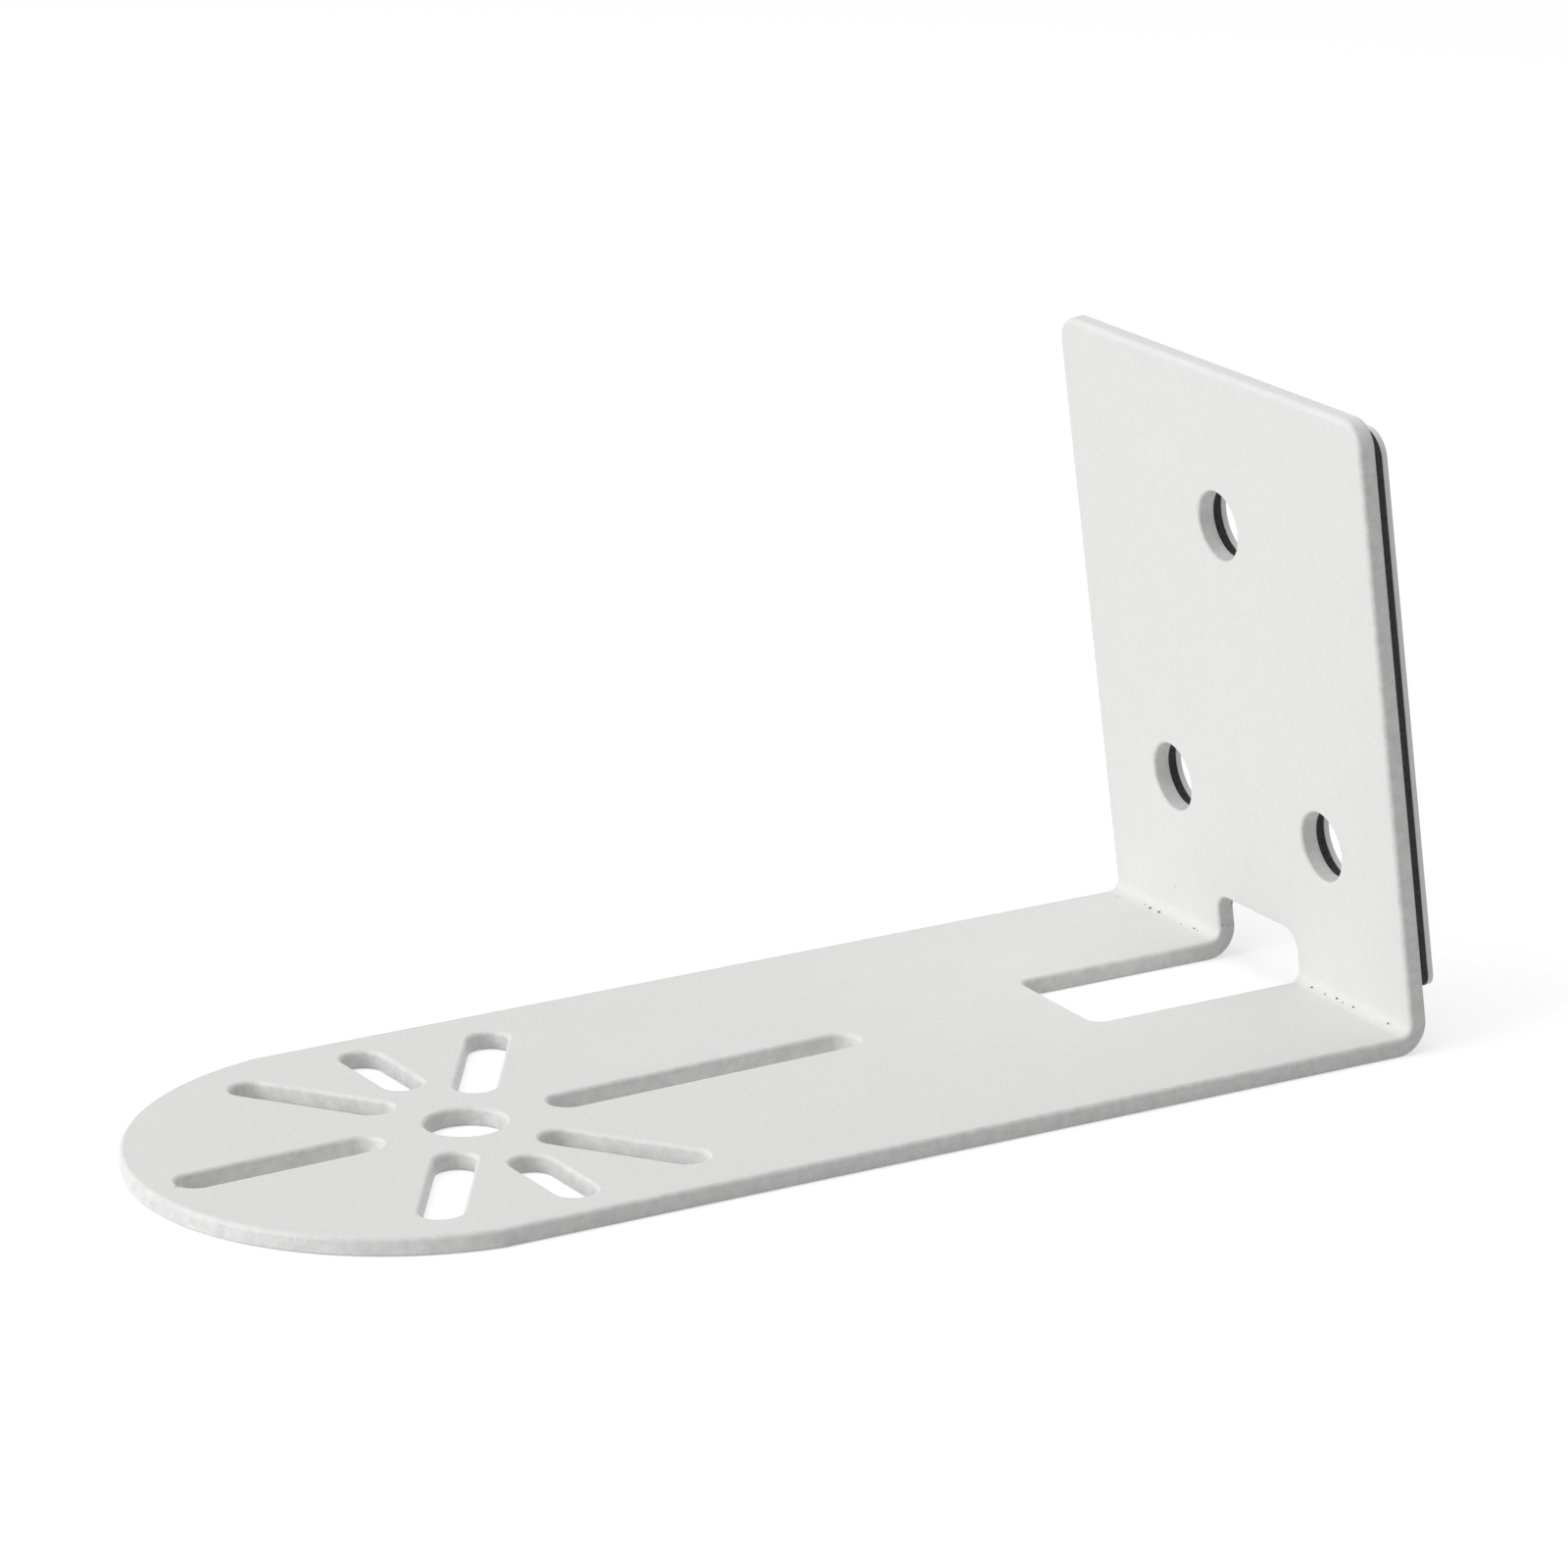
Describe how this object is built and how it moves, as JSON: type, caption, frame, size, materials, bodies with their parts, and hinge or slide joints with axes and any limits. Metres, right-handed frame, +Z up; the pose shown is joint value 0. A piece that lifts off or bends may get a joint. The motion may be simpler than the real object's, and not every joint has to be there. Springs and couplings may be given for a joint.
{
  "type": "camera wall bracket",
  "caption": "L-shaped bracket folded from one coated sheet: an arm with a hole and a star of slots for a camera, and a drilled plate with a foam pad for the wall.",
  "frame": {"origin": "middle of the camera hole, at the arm's underside", "axes": "+Z up out of the arm's top, +Y along the arm towards the wall plate, X across the strip"},
  "size_m": [0.047, 0.1056, 0.0542],
  "materials": {
    "coated_steel": "white powder coat, fine texture, satin",
    "foam": "black closed-cell foam, matt",
    "liner": "pale siliconed paper, smooth"
  },
  "bodies": {
    "root": {"bracket": "coated_steel", "foam_pad": "foam", "release_liner": "liner"}
  },
  "joints": []
}
